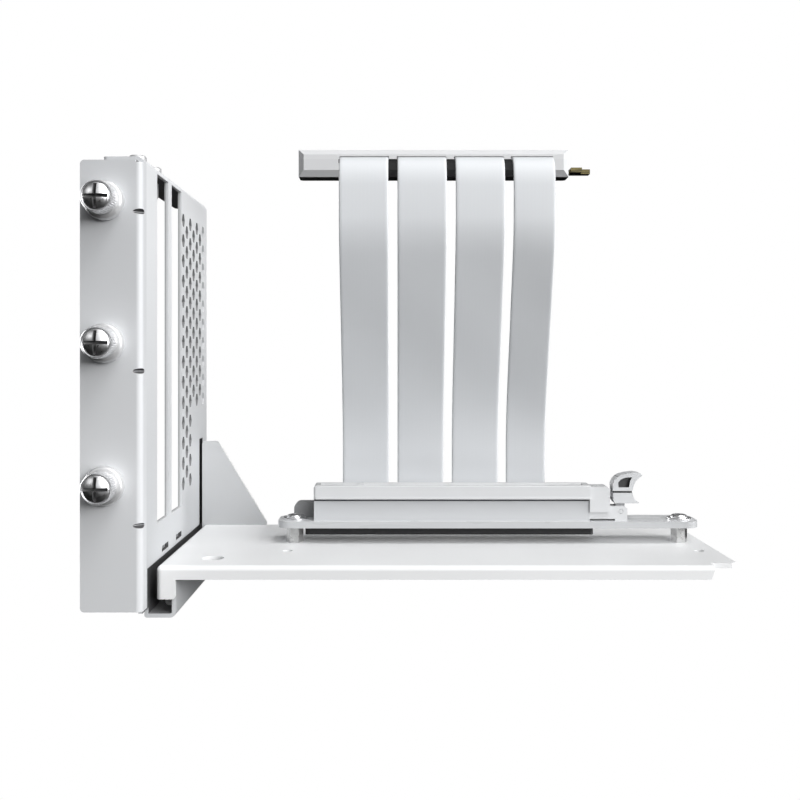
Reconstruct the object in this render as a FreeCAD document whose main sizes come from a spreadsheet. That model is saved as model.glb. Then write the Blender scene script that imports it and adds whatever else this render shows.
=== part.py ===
import FreeCAD, Part
import math
import os
import Sketcher

# Vertical graphics-card mount: a folded cage that screws to a computer case, a
# folded shelf hooked into its rail, a riser board with an x16 slot on the shelf,
# and four flat cables that rise from the board to a plug.
# X runs along the shelf away from the cage, Y into the case, Z up. The origin is
# the axis of the middle case screw, on the rear face of the cage's flange.

V = FreeCAD.Vector
doc = FreeCAD.newDocument("card_mount")
sheet = doc.addObject("Spreadsheet::Sheet", "dims")


class Dim:
    """A size with its value and the expression that binds to it."""

    def __init__(self, value, text):
        self.value = value
        self.text = text

    def __add__(self, o):
        o = dim(o)
        return Dim(self.value + o.value, f"({self.text} + {o.text})")

    def __radd__(self, o):
        return dim(o) + self

    def __sub__(self, o):
        o = dim(o)
        return Dim(self.value - o.value, f"({self.text} - {o.text})")

    def __rsub__(self, o):
        return dim(o) - self

    def __mul__(self, o):
        o = dim(o)
        return Dim(self.value * o.value, f"({self.text} * {o.text})")

    def __rmul__(self, o):
        return dim(o) * self

    def __neg__(self):
        return Dim(-self.value, f"(-{self.text})")


def dim(x):
    return x if isinstance(x, Dim) else Dim(float(x), f"({float(x):.6g})")


rows = []


def size(name, value):
    """One driving dimension in the sheet, in millimetres."""
    rows.append(name)
    n = len(rows)
    sheet.set(f"A{n}", name)
    sheet.set(f"B{n}", f"{value:.6g}")
    sheet.setAlias(f"B{n}", name)
    return Dim(float(value), f"dims.{name}")


# Cage
cage_gauge = size("cage_gauge", 1.2)
bend_out = size("bend_out", 1.8)
bend_in = size("bend_in", 0.6)
flange_left = size("flange_left", -7.2)
wall_face = size("wall_face", 10.6)
wall_depth = size("wall_depth", 99.8)
cage_top = size("cage_top", 53.7)
flange_top = size("flange_top", 52.4)
flange_low = size("flange_low", -77.0)
ledge_left = size("ledge_left", -1.3)
ledge_start = size("ledge_start", 0.75)
rail_front = size("rail_front", 11.4)
rail_low = size("rail_low", -81.6)
rail_right = size("rail_right", 17.6)
rail_lip_top = size("rail_lip_top", -67.6)
jog_low = size("jog_low", -65.7)
foot_deep = size("foot_deep", 4.8)
screw_pitch = size("screw_pitch", 40.64)
case_hole_r = size("case_hole_r", 2.0)
slot_pitch = size("slot_pitch", 20.32)
slot_first = size("slot_first", 17.6)
slot_wide = size("slot_wide", 15.4)
slot_low = size("slot_low", -54.4)
slot_high = size("slot_high", 51.6)
tongue_first = size("tongue_first", 28.6)
tongue_level = size("tongue_level", -63.5)
tongue_long = size("tongue_long", 9.0)
tongue_high = size("tongue_high", 1.8)
grille_pitch = size("grille_pitch", 6.9)
grille_column = size("grille_column", 5.98)
grille_first = size("grille_first", 56.5)
grille_top = size("grille_top", 42.5)
grille_half = size("grille_half", 2.15)
dimple_high = size("dimple_high", 37.7)
dimple_mid = size("dimple_mid", -8.0)
dimple_low = size("dimple_low", -52.3)
bracket_hole_r = size("bracket_hole_r", 1.9)
bracket_screw_x = size("bracket_screw_x", 3.4)
bracket_screw_y = size("bracket_screw_y", 22.8)
shelf_screw_x = size("shelf_screw_x", 13.8)
shelf_screw_y = size("shelf_screw_y", 34.0)
shelf_screw_gap = size("shelf_screw_gap", 34.0)

# Shelf
shelf_gauge = size("shelf_gauge", 1.5)
shelf_left = size("shelf_left", 12.0)
shelf_right = size("shelf_right", 185.7)
shelf_front = size("shelf_front", 9.8)
shelf_back = size("shelf_back", 86.4)
shelf_top = size("shelf_top", -65.9)
lip_right = size("lip_right", 177.6)
lip_low = size("lip_low", -70.0)
hook_right = size("hook_right", 17.65)
hook_low = size("hook_low", -75.8)
corner_front = size("corner_front", 14.3)
gusset_top = size("gusset_top", -35.0)
gusset_left = size("gusset_left", 11.7)
gusset_base = size("gusset_base", 35.4)
gusset_tip = size("gusset_tip", 17.5)
spare_hole_y = size("spare_hole_y", 34.2)
spare_hole_left = size("spare_hole_left", 48.5)
spare_hole_right = size("spare_hole_right", 180.0)
cable_hole_x = size("cable_hole_x", 26.7)
cable_hole_y = size("cable_hole_y", 22.1)

# Riser board, standoffs and slot
post_left = size("post_left", 49.2)
post_right = size("post_right", 177.9)
post_y = size("post_y", 51.0)
post_flats = size("post_flats", 4.8)
board_low = size("board_low", -60.5)
board_gauge = size("board_gauge", 2.2)
board_left = size("board_left", 43.8)
board_right = size("board_right", 183.3)
board_front = size("board_front", 44.8)
board_back = size("board_back", 59.8)
slot_left = size("slot_left", 55.85)
slot_right = size("slot_right", 147.15)
slot_mid = size("slot_mid", 49.3)
slot_head = size("slot_head", -46.4)
slot_head_low = size("slot_head_low", -51.0)
slot_head_half = size("slot_head_half", 4.5)
slot_body_half = size("slot_body_half", 2.7)
groove_half = size("groove_half", 0.95)
groove_left = size("groove_left", 58.0)
groove_right = size("groove_right", 145.2)
key_left = size("key_left", 70.6)
key_right = size("key_right", 72.4)
contact_pitch = size("contact_pitch", 1.0)
contact_wide = size("contact_wide", 0.5)
tower_right = size("tower_right", 153.8)
tower_top = size("tower_top", -46.9)
tower_low = size("tower_low", -55.4)
yoke_right = size("yoke_right", 159.7)
yoke_top = size("yoke_top", -53.4)
pivot_x = size("pivot_x", 157.6)
pivot_z = size("pivot_z", -55.2)
pivot_r = size("pivot_r", 0.7)

# Cables and plug
ribbon_gauge = size("ribbon_gauge", 1.0)
ribbon_start = size("ribbon_start", -53.0)
plug_left = size("plug_left", 51.35)
plug_right = size("plug_right", 139.2)
plug_front = size("plug_front", 38.8)
plug_back = size("plug_back", 49.2)
plug_low = size("plug_low", 54.6)
plug_split = size("plug_split", 60.1)
plug_top = size("plug_top", 63.35)
edge_gauge = size("edge_gauge", 1.6)
edge_tip = size("edge_tip", 67.8)
doc.recompute()

subparts = []


def body(label):
    b = doc.addObject("PartDesign::Body", label)
    b.Label = label
    b.AllowCompound = True
    subparts.append(b)
    return b


def role(b, name):
    return next(f for f in b.Origin.OriginFeatures if f.Role == name)


def sketch(b, plane, name, polys=(), circles=(), offset=0):
    """Closed outlines on an origin plane, each corner placed by two bound distances."""
    s = b.newObject("Sketcher::SketchObject", name)
    s.AttachmentSupport = (role(b, plane), [""])
    s.MapMode = "FlatFace"
    offset = dim(offset)
    s.AttachmentOffset = FreeCAD.Placement(V(0, 0, offset.value), FreeCAD.Rotation())
    s.setExpression("AttachmentOffset.Base.z", offset.text)
    n = 0
    bound = []
    for poly in polys:
        pts = [(dim(x), dim(y)) for x, y in poly]
        k = len(pts)
        for i in range(k):
            (x0, y0), (x1, y1) = pts[i], pts[(i + 1) % k]
            s.addGeometry(
                Part.LineSegment(V(x0.value, y0.value, 0), V(x1.value, y1.value, 0)), False
            )
        for i in range(k):
            s.addConstraint(Sketcher.Constraint("Coincident", n + i, 2, n + (i + 1) % k, 1))
        for i, (x, y) in enumerate(pts):
            bound.append((s.addConstraint(Sketcher.Constraint("DistanceX", -1, 1, n + i, 1, x.value)), x))
            bound.append((s.addConstraint(Sketcher.Constraint("DistanceY", -1, 1, n + i, 1, y.value)), y))
        n += k
    for x, y, r in circles:
        x, y, r = dim(x), dim(y), dim(r)
        s.addGeometry(Part.Circle(V(x.value, y.value, 0), V(0, 0, 1), r.value), False)
        bound.append((s.addConstraint(Sketcher.Constraint("DistanceX", -1, 1, n, 3, x.value)), x))
        bound.append((s.addConstraint(Sketcher.Constraint("DistanceY", -1, 1, n, 3, y.value)), y))
        bound.append((s.addConstraint(Sketcher.Constraint("Radius", n, r.value)), r))
        n += 1
    for index, d in bound:
        s.setExpression(f"Constraints[{index}]", d.text)
    s.Visibility = False
    return s


def rect(x0, y0, x1, y1):
    return [(x0, y0), (x1, y0), (x1, y1), (x0, y1)]


def swept(b, kind, plane, name, low, high, polys=(), circles=()):
    """A Pad or Pocket of outlines on a plane, from low to high along that plane's axis."""
    low, high = dim(low), dim(high)
    start = {
        ("Pad", "XY_Plane"): low,
        ("Pad", "YZ_Plane"): low,
        ("Pad", "XZ_Plane"): -high,
        ("Pocket", "XY_Plane"): high,
        ("Pocket", "YZ_Plane"): high,
        ("Pocket", "XZ_Plane"): -low,
    }[(kind, plane)]
    before = b.Shape.Volume if b.Tip else 0.0
    s = sketch(b, plane, name + "_outline", polys, circles, start)
    f = b.newObject("PartDesign::" + kind, name)
    f.Profile = s
    f.Type = "Length"
    f.Length = (high - low).value
    f.setExpression("Length", (high - low).text)
    doc.recompute()
    change = b.Shape.Volume - before
    if (change <= 0) if kind == "Pad" else (change >= 0):
        raise RuntimeError(f"{b.Label}.{name} changes the volume by {change:.3f}")
    return f


def pad(b, plane, name, low, high, polys=(), circles=()):
    return swept(b, "Pad", plane, name, low, high, polys, circles)


def pocket(b, plane, name, low, high, polys=(), circles=()):
    return swept(b, "Pocket", plane, name, low, high, polys, circles)


def edges(b, test):
    """The names of the straight edges of a body's last feature whose ends pass a test."""
    out = []
    for i, e in enumerate(b.Tip.Shape.Edges):
        if e.Degenerated:
            continue
        if e.Curve.TypeId == "Part::GeomLine" and len(e.Vertexes) == 2:
            p, q = e.Vertexes[0].Point, e.Vertexes[1].Point
            if test(p, q):
                out.append(f"Edge{i + 1}")
    return out


def near(a, c):
    return abs(a - dim(c).value) < 1e-4


def along(axis, x=None, y=None, z=None, least=0.0):
    """A test for edges that run along an axis at given places on the other two."""

    def test(p, q):
        for k, want in (("x", x), ("y", y), ("z", z)):
            if want is not None and not (near(getattr(p, k), want) and near(getattr(q, k), want)):
                return False
        run = q - p
        other = [abs(getattr(run, k)) for k in "xyz" if k != axis]
        return max(other) < 1e-4 and abs(getattr(run, axis)) > max(least, 1e-3)

    return test


def rounded(b, name, radius, *tests, kind="Fillet"):
    """Rounds (or bevels) the edges that pass any of the tests."""
    names = sorted({n for t in tests for n in edges(b, t)})
    if len(names) < len(tests):
        raise RuntimeError(f"{b.Label}.{name} found {len(names)} edges for {len(tests)} places")
    base = b.Tip
    f = b.newObject("PartDesign::" + kind, name)
    f.Base = (base, names)
    radius = dim(radius)
    prop = "Radius" if kind == "Fillet" else "Size"
    setattr(f, prop, radius.value)
    f.setExpression(prop, radius.text)
    doc.recompute()
    if f.Shape.isNull() or not f.Shape.isValid():
        raise RuntimeError(f"{b.Label}.{name} failed")
    return f


def turned(b, name, profile, axis="V_Axis", plane="XY_Plane"):
    s = sketch(b, plane, name + "_profile", [profile])
    f = b.newObject("PartDesign::Revolution", name)
    f.Profile = s
    f.ReferenceAxis = (s, [axis])
    f.Angle = 360.0
    doc.recompute()
    return f


def pattern(b, name, originals, axis, length, count, axis2=None, length2=0, count2=1, back=False, back2=False):
    f = b.newObject("PartDesign::LinearPattern", name)
    f.Originals = originals
    f.Direction = (role(b, axis), [""])
    f.Reversed = back
    f.Length = dim(length).value
    f.setExpression("Length", dim(length).text)
    f.Occurrences = count
    if axis2:
        f.Direction2 = (role(b, axis2), [""])
        f.Reversed2 = back2
        f.Length2 = dim(length2).value
        f.setExpression("Length2", dim(length2).text)
        f.Occurrences2 = count2
    b.Tip = f
    doc.recompute()
    return f


def solid_of(label, shape, place=V(0, 0, 0)):
    """A sub-part whose shape is made here from the sheet's sizes."""
    f = doc.addObject("Part::Feature", label)
    f.Label = label
    f.Shape = shape
    f.Placement = FreeCAD.Placement(place, FreeCAD.Rotation())
    subparts.append(f)
    return f


# ---------------------------------------------------------------- the cage
cage = body("slot_cage")
wall_back = wall_face - cage_gauge
ledge_low = cage_top - cage_gauge
rail_floor = rail_low + cage_gauge
rail_inner = rail_right - cage_gauge
pad(
    cage, "XZ_Plane", "wall_and_ledge", ledge_start, wall_depth,
    [[
        (ledge_left, ledge_low), (wall_back, ledge_low), (wall_back, jog_low), (wall_face, jog_low),
        (wall_face, cage_top), (ledge_left, cage_top),
    ]],
)
rounded(cage, "ledge_bend_outer", bend_out, along("y", x=wall_face, z=cage_top))
rounded(cage, "ledge_bend_inner", bend_in, along("y", x=wall_back, z=ledge_low))
# The wall steps back at its foot and is folded round into a channel, the shelf's rail,
# whose floor and lip start behind the shelf's tab.
rail_left = wall_back - cage_gauge
pad(
    cage, "XZ_Plane", "rail_step", foot_deep - 0.8, wall_depth,
    [[
        (rail_left, jog_low + cage_gauge), (rail_left, rail_low + 3.0), (wall_back, rail_low + 3.0), (wall_back, jog_low),
        (wall_face, jog_low), (wall_face, jog_low + cage_gauge),
    ]],
)
pad(
    cage, "XZ_Plane", "rail", rail_front, wall_depth,
    [[
        (rail_left, rail_low + 3.2), (rail_left, rail_low), (rail_right, rail_low), (rail_right, rail_lip_top),
        (rail_inner, rail_lip_top), (rail_inner, rail_floor), (wall_back, rail_floor), (wall_back, rail_low + 3.2),
    ]],
)
pad(cage, "XY_Plane", "wall_foot", flange_low, jog_low + 0.4, [rect(wall_back, ledge_start, wall_face, foot_deep)])
rounded(cage, "rail_bend_right", bend_out, along("y", x=rail_right, z=rail_low))
rounded(cage, "rail_bend_left", 0.7, along("y", x=rail_left, z=rail_low))
rounded(cage, "rail_bend_inner", bend_in, along("y", x=rail_inner, z=rail_floor))
# The flange is folded off the wall's front edge; its corner is relieved at the top.
fold_top = cage_top - bend_out
pad(
    cage, "XY_Plane", "flange", flange_low, fold_top,
    [[
        (flange_left, -cage_gauge), (wall_face, -cage_gauge), (wall_face, ledge_start + 0.5),
        (wall_back, ledge_start + 0.5), (wall_back, 0), (flange_left, 0),
    ]],
)
rounded(cage, "flange_bend_outer", bend_out, along("z", x=wall_face, y=-cage_gauge))
rounded(cage, "flange_bend_inner", bend_in, along("z", x=wall_back, y=0, least=20))
pad(
    cage, "XZ_Plane", "flange_ends", -cage_gauge, 0,
    [
        rect(flange_left, fold_top, wall_face - bend_out - 0.2, flange_top),
    ],
)
rounded(
    cage, "flange_corners", 1.2,
    along("y", x=flange_left, z=flange_top), along("y", x=flange_left, z=flange_low),
)
rounded(
    cage, "ledge_corners", 1.5,
    along("z", x=ledge_left, y=ledge_start), along("z", x=ledge_left, y=wall_depth),
)
# Pressed stiffeners across the flange fold: a bump inside, a lens outside.
for tag, level in (("high", dimple_high), ("mid", dimple_mid), ("low", dimple_low)):
    pad(
        cage, "XY_Plane", "rib_" + tag, level - 1.5, level + 1.5,
        [[(wall_back + 0.3, -0.3), (wall_back + 0.3, 2.6), (wall_back, 2.6), (wall_back - 2.6, 0), (wall_back - 2.6, -0.3)]],
    )
    lens = cage.newObject("PartDesign::SubtractiveEllipsoid", "lens_" + tag)
    lens.Radius1 = 0.8
    lens.Radius2 = 2.7
    lens.Radius3 = 2.7
    lens.Placement = FreeCAD.Placement(
        V(wall_face.value, -cage_gauge.value, level.value), FreeCAD.Rotation()
    )
    lens.setExpression("Placement.Base.x", wall_face.text)
    lens.setExpression("Placement.Base.z", level.text)
    doc.recompute()
# Card openings, bracket-tongue slits and screw holes.
pocket(
    cage, "YZ_Plane", "card_openings", wall_back - 0.5, wall_face + 0.5,
    [
        rect(slot_first, slot_low, slot_first + slot_wide, slot_high),
        rect(slot_first + slot_pitch, slot_low, slot_first + slot_pitch + slot_wide, slot_high),
    ],
)
half_tongue = tongue_long * 0.5
pocket(
    cage, "YZ_Plane", "tongue_slits", wall_back - 0.5, wall_face + 0.5,
    [
        rect(
            tongue_first + slot_pitch * k - half_tongue, tongue_level - tongue_high * 0.5,
            tongue_first + slot_pitch * k + half_tongue, tongue_level + tongue_high * 0.5,
        )
        for k in (0, 1)
    ],
)
pocket(
    cage, "XZ_Plane", "case_screw_holes", -cage_gauge - 0.5, 0.5,
    circles=[(0, screw_pitch * k, case_hole_r) for k in (-1, 0, 1)],
)
pocket(
    cage, "XY_Plane", "bracket_screw_holes", ledge_low - 0.4, cage_top + 0.4,
    circles=[(bracket_screw_x, bracket_screw_y + slot_pitch * k, bracket_hole_r) for k in (0, 1)],
)
for k in (0, 1):
    sink = cage.newObject("PartDesign::SubtractiveCone", f"countersink_{k}")
    sink.Radius1 = 2.35
    sink.Radius2 = 1.5
    sink.Height = cage_gauge.value + 0.1
    sink.Placement = FreeCAD.Placement(
        V(shelf_screw_x.value, (shelf_screw_y + shelf_screw_gap * k).value, rail_low.value - 0.05),
        FreeCAD.Rotation(),
    )
    sink.setExpression("Placement.Base.x", shelf_screw_x.text)
    sink.setExpression("Placement.Base.y", (shelf_screw_y + shelf_screw_gap * k).text)
    sink.setExpression("Placement.Base.z", (rail_low - 0.05).text)
    doc.recompute()


def hexagon(y, z):
    """A hole of the grille with flat top and bottom, its flats grille_half from its middle."""
    tip = grille_half * (2 / math.sqrt(3))
    return [
        (y + tip, z), (y + tip * 0.5, z + grille_half), (y - tip * 0.5, z + grille_half),
        (y - tip, z), (y - tip * 0.5, z - grille_half), (y + tip * 0.5, z - grille_half),
    ]


# Grille: seven columns on a hexagon pitch; the four rear ones stop above the gusset.
for tag, first, columns, offset, count in (
    ("a", 0, 2, 0.0, 14), ("b", 1, 1, 0.5, 13), ("c", 3, 2, 0.5, 9), ("d", 4, 2, 0.0, 10),
):
    hole = pocket(
        cage, "YZ_Plane", "grille_" + tag, wall_back - 0.5, wall_face + 0.5,
        [hexagon(grille_first + grille_column * first, grille_top - grille_pitch * offset)],
    )
    pattern(
        cage, "grille_field_" + tag, [hole], "Z_Axis", grille_pitch * (count - 1), count,
        "Y_Axis" if columns > 1 else None, grille_column * 2 * (columns - 1), columns, back=True,
    )

# ---------------------------------------------------------------- case thumbscrews
thumb = body("case_thumbscrews")
front = -cage_gauge
turned(
    thumb, "screw",
    [
        (0, front - 11.0), (1.2, front - 10.95), (2.3, front - 10.78), (3.3, front - 10.45), (4.0, front - 10.0), (4.45, front - 9.4),
        (4.45, front - 3.7),
        (4.1, front - 3.3), (4.1, front - 3.0), (5.3, front - 3.0), (5.7, front - 2.6), (5.7, front), (1.55, front),
        (1.55, 0.4), (1.75, 0.4), (1.75, 6.4), (1.3, 7.0), (0, 7.0),
    ],
)
cross = pocket(
    thumb, "XZ_Plane", "recess", front - 11.5, front - 9.1,
    [[
        (-0.45, -3.7), (0.45, -3.7), (0.45, -0.45), (3.7, -0.45), (3.7, 0.45), (0.45, 0.45),
        (0.45, 3.7), (-0.45, 3.7), (-0.45, 0.45), (-3.7, 0.45), (-3.7, -0.45), (-0.45, -0.45),
    ]],
)
thumb.Placement = FreeCAD.Placement(V(0, 0, -screw_pitch.value), FreeCAD.Rotation())
thumb.setExpression("Placement.Base.z", (-screw_pitch).text)
pattern(thumb, "three_screws", [thumb.getObject("screw") or doc.getObject("screw"), cross], "Z_Axis", screw_pitch * 2, 3)

# ---------------------------------------------------------------- card bracket screws
bracket = body("bracket_screws")
turned(
    bracket, "bracket_screw",
    [
        (0, -6.0), (1.3, -6.0), (1.7, -5.5), (1.7, 0), (3.5, 0), (3.5, 0.9), (2.7, 1.1),
        (2.7, 3.8), (2.3, 4.3), (0, 4.3),
    ],
    plane="XZ_Plane",
)
bracket_cross = pocket(
    bracket, "XY_Plane", "bracket_recess", 2.6, 4.8,
    [[
        (-0.4, -1.7), (0.4, -1.7), (0.4, -0.4), (1.7, -0.4), (1.7, 0.4), (0.4, 0.4),
        (0.4, 1.7), (-0.4, 1.7), (-0.4, 0.4), (-1.7, 0.4), (-1.7, -0.4), (-0.4, -0.4),
    ]],
)
pattern(bracket, "two_bracket_screws", [doc.getObject("bracket_screw"), bracket_cross], "Y_Axis", slot_pitch, 2)
bracket.Placement = FreeCAD.Placement(V(bracket_screw_x.value, bracket_screw_y.value, cage_top.value), FreeCAD.Rotation())
for k, d in (("x", bracket_screw_x), ("y", bracket_screw_y), ("z", cage_top)):
    bracket.setExpression(f"Placement.Base.{k}", d.text)

# ---------------------------------------------------------------- the shelf
shelf = body("support_shelf")
shelf_low = shelf_top - shelf_gauge
pad(
    shelf, "XY_Plane", "plate", shelf_low, shelf_top,
    [[
        (shelf_left, shelf_front), (lip_right, shelf_front), (lip_right, corner_front),
        (shelf_right - 1.6, corner_front), (shelf_right, corner_front + 1.6),
        (shelf_right, shelf_back), (shelf_left, shelf_back),
    ]],
)
pad(
    shelf, "XZ_Plane", "front_lip", shelf_front, shelf_front + shelf_gauge,
    [[
        (shelf_left, shelf_top), (lip_right, shelf_top), (lip_right, shelf_low), (lip_right - 1.0, lip_low),
        (hook_right, lip_low), (hook_right, hook_low), (shelf_left, hook_low),
    ]],
)
pad(
    shelf, "YZ_Plane", "left_leg", shelf_left, shelf_left + shelf_gauge,
    [[
        (shelf_front, shelf_top), (80, shelf_top), (80, rail_floor), (22, rail_floor),
        (22, hook_low), (shelf_front, hook_low),
    ]],
)
pad(
    shelf, "XY_Plane", "return_flange", rail_floor, rail_floor + shelf_gauge,
    [rect(shelf_left, 22, rail_inner - 0.65, 80)],
)
rounded(
    shelf, "fold_edges", 1.5,
    along("x", y=shelf_front, z=shelf_top), along("y", x=shelf_left, z=shelf_top, least=40),
    along("z", x=shelf_left, y=shelf_front),
)
pad(
    shelf, "XZ_Plane", "gusset", shelf_back - shelf_gauge, shelf_back,
    [[
        (gusset_left, shelf_low), (gusset_base, shelf_low), (gusset_base, shelf_top + 1.2), (gusset_tip, gusset_top),
        (gusset_left, gusset_top),
    ]],
)
rounded(
    shelf, "gusset_fold", 0.6,
    along("x", y=shelf_back - shelf_gauge, z=shelf_top, least=10),
)
rounded(shelf, "gusset_fold_outer", 1.4, along("x", y=shelf_back, z=shelf_low, least=10))
rounded(shelf, "hook_corners", 1.0, along("y", x=hook_right, z=hook_low))
rounded(shelf, "leg_fold", 1.4, along("y", x=shelf_left, z=rail_floor))
rounded(shelf, "gusset_corners", 1.0, along("y", x=gusset_left, z=gusset_top), along("y", x=gusset_tip, z=gusset_top))
pocket(
    shelf, "XY_Plane", "plate_holes", shelf_low - 0.5, shelf_top + 0.5,
    circles=[
        (post_left, post_y, 2.05), (post_right, post_y, 2.05),
        (spare_hole_left, spare_hole_y, 1.6), (spare_hole_right, spare_hole_y, 1.6),
        (cable_hole_x, cable_hole_y, 3.4),
    ],
)
pocket(
    shelf, "XY_Plane", "fixing_holes", rail_floor - 0.5, rail_floor + shelf_gauge,
    circles=[(shelf_screw_x, shelf_screw_y + shelf_screw_gap * k, 1.45) for k in (0, 1)],
)

# ---------------------------------------------------------------- shelf screws
fix = body("shelf_screws")
turned(
    fix, "fix_screw",
    [(0, 0), (2.15, 0), (2.15, 0.12), (1.38, 0.85), (1.38, 2.6), (0, 2.6)],
    plane="XZ_Plane",
)
fix_cross = pocket(
    fix, "XY_Plane", "fix_recess", -0.5, 0.8,
    [[
        (-0.35, -1.15), (0.35, -1.15), (0.35, -0.35), (1.15, -0.35), (1.15, 0.35), (0.35, 0.35),
        (0.35, 1.15), (-0.35, 1.15), (-0.35, 0.35), (-1.15, 0.35), (-1.15, -0.35), (-0.35, -0.35),
    ]],
)
pattern(fix, "two_fix_screws", [doc.getObject("fix_screw"), fix_cross], "Y_Axis", shelf_screw_gap, 2)
fix.Placement = FreeCAD.Placement(V(shelf_screw_x.value, shelf_screw_y.value, rail_low.value), FreeCAD.Rotation())
for k, d in (("x", shelf_screw_x), ("y", shelf_screw_y), ("z", rail_low)):
    fix.setExpression(f"Placement.Base.{k}", d.text)

# ---------------------------------------------------------------- standoffs and board screws
posts = body("board_standoffs")
flat = post_flats * 0.5
point = post_flats * (1 / math.sqrt(3))
post_hex = [
    (point, 0), (point * 0.5, flat), (point * -0.5, flat), (point * -1.0, 0), (point * -0.5, -flat), (point * 0.5, -flat),
]
post_body = pad(posts, "XY_Plane", "post", shelf_top, board_low, [post_hex])
post_stem = pad(posts, "XY_Plane", "post_stem", shelf_low, shelf_top, circles=[(0, 0, 2.0)])
post_bore = pocket(posts, "XY_Plane", "post_bore", shelf_low - 0.2, board_low + 0.2, circles=[(0, 0, 1.5)])
pattern(posts, "two_posts", [post_body, post_stem, post_bore], "X_Axis", post_right - post_left, 2)
posts.Placement = FreeCAD.Placement(V(post_left.value, post_y.value, 0), FreeCAD.Rotation())
posts.setExpression("Placement.Base.x", post_left.text)
posts.setExpression("Placement.Base.y", post_y.text)

board_top = board_low + board_gauge
pans = body("board_screws")
turned(
    pans, "pan_screw",
    [
        (0, -6.2), (1.1, -6.2), (1.45, -5.8), (1.45, 0), (3.9, 0), (4.0, 0.15), (4.0, 0.5), (3.9, 0.6),
        (2.8, 0.65), (2.75, 0.95), (2.4, 1.4), (1.7, 1.65), (0, 1.7),
    ],
    plane="XZ_Plane",
)
pan_cross = pocket(
    pans, "XY_Plane", "pan_recess", 0.6, 2.2,
    [[
        (-0.42, -1.7), (0.42, -1.7), (0.42, -0.42), (1.7, -0.42), (1.7, 0.42), (0.42, 0.42),
        (0.42, 1.7), (-0.42, 1.7), (-0.42, 0.42), (-1.7, 0.42), (-1.7, -0.42), (-0.42, -0.42),
    ]],
)
pattern(pans, "two_pan_screws", [doc.getObject("pan_screw"), pan_cross], "X_Axis", post_right - post_left, 2)
pans.Placement = FreeCAD.Placement(V(post_left.value, post_y.value, board_top.value), FreeCAD.Rotation())
for k, d in (("x", post_left), ("y", post_y), ("z", board_top)):
    pans.setExpression(f"Placement.Base.{k}", d.text)

# ---------------------------------------------------------------- riser board and insulator
board = body("riser_board")
pad(board, "XY_Plane", "strip", board_low, board_top, [rect(board_left, board_front, board_right, board_back)])
rounded(
    board, "strip_ends", 4.2,
    *[along("z", x=x, y=y) for x in (board_left, board_right) for y in (board_front, board_back)],
)
pocket(
    board, "XY_Plane", "screw_holes", board_low - 0.5, board_top + 0.5,
    circles=[(post_left, post_y, 1.6), (post_right, post_y, 1.6)],
)

pad_strip = body("board_insulator")
pad(
    pad_strip, "XY_Plane", "strip_below", board_low - 3.0, board_low,
    [rect(post_left + 3.4, board_front + 5.6, slot_right + 2.0, board_back - 1.2)],
)
rounded(
    pad_strip, "strip_corners", 1.0,
    *[along("z", x=x, y=y) for x in (post_left + 3.4, slot_right + 2.0) for y in (board_front + 5.6, board_back - 1.2)],
)

# ---------------------------------------------------------------- the slot
slot = body("card_slot")
pad(
    slot, "YZ_Plane", "slot_section", slot_left, slot_right,
    [[
        (slot_mid - slot_body_half, board_top), (slot_mid + slot_body_half, board_top),
        (slot_mid + slot_body_half, slot_head_low), (slot_mid + slot_head_half, slot_head_low),
        (slot_mid + slot_head_half, slot_head), (slot_mid - slot_head_half, slot_head),
        (slot_mid - slot_head_half, slot_head_low), (slot_mid - slot_body_half, slot_head_low),
    ]],
)
rounded(
    slot, "head_edges", 0.5,
    along("x", y=slot_mid - slot_head_half, z=slot_head), along("x", y=slot_mid + slot_head_half, z=slot_head),
)
rounded(
    slot, "head_left", 0.8,
    along("z", x=slot_left, y=slot_mid - slot_head_half), along("z", x=slot_left, y=slot_mid + slot_head_half),
)
# A raised bead along the head's lower edge on both sides.
bead_front, bead_rear = slot_mid - slot_head_half - 0.3, slot_mid + slot_head_half + 0.3
pad(
    slot, "YZ_Plane", "head_beads", slot_left + 0.8, slot_right,
    [
        rect(bead_front, slot_head_low, bead_front + 0.6, slot_head_low + 0.9),
        rect(bead_rear - 0.6, slot_head_low, bead_rear, slot_head_low + 0.9),
    ],
)
rounded(
    slot, "bead_edges", 0.25,
    *[along("x", y=y, z=z) for y in (bead_front, bead_rear) for z in (slot_head_low, slot_head_low + 0.9)],
)
# A shadow groove under the head.
pocket(
    slot, "YZ_Plane", "head_grooves", slot_left - 0.2, slot_right,
    [
        rect(slot_mid - slot_body_half - 0.2, slot_head_low - 0.45, slot_mid - slot_body_half + 0.4, slot_head_low),
        rect(slot_mid + slot_body_half - 0.4, slot_head_low - 0.45, slot_mid + slot_body_half + 0.2, slot_head_low),
    ],
)
pad(
    slot, "XZ_Plane", "tower", slot_mid - 3.4, slot_mid + 3.4,
    [[
        (slot_right, tower_low), (tower_right, tower_low), (tower_right, tower_top - 0.9),
        (tower_right - 0.9, tower_top), (slot_right, tower_top),
    ]],
)
pad(
    slot, "XZ_Plane", "yoke", slot_mid - 2.5, slot_mid + 2.5,
    [[
        (slot_right, board_top + 0.6), (155.6, board_top + 0.6), (155.6, board_top), (yoke_right, board_top), (yoke_right, yoke_top - 0.8),
        (yoke_right - 1.5, yoke_top), (slot_right, yoke_top),
    ]],
)
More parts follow.
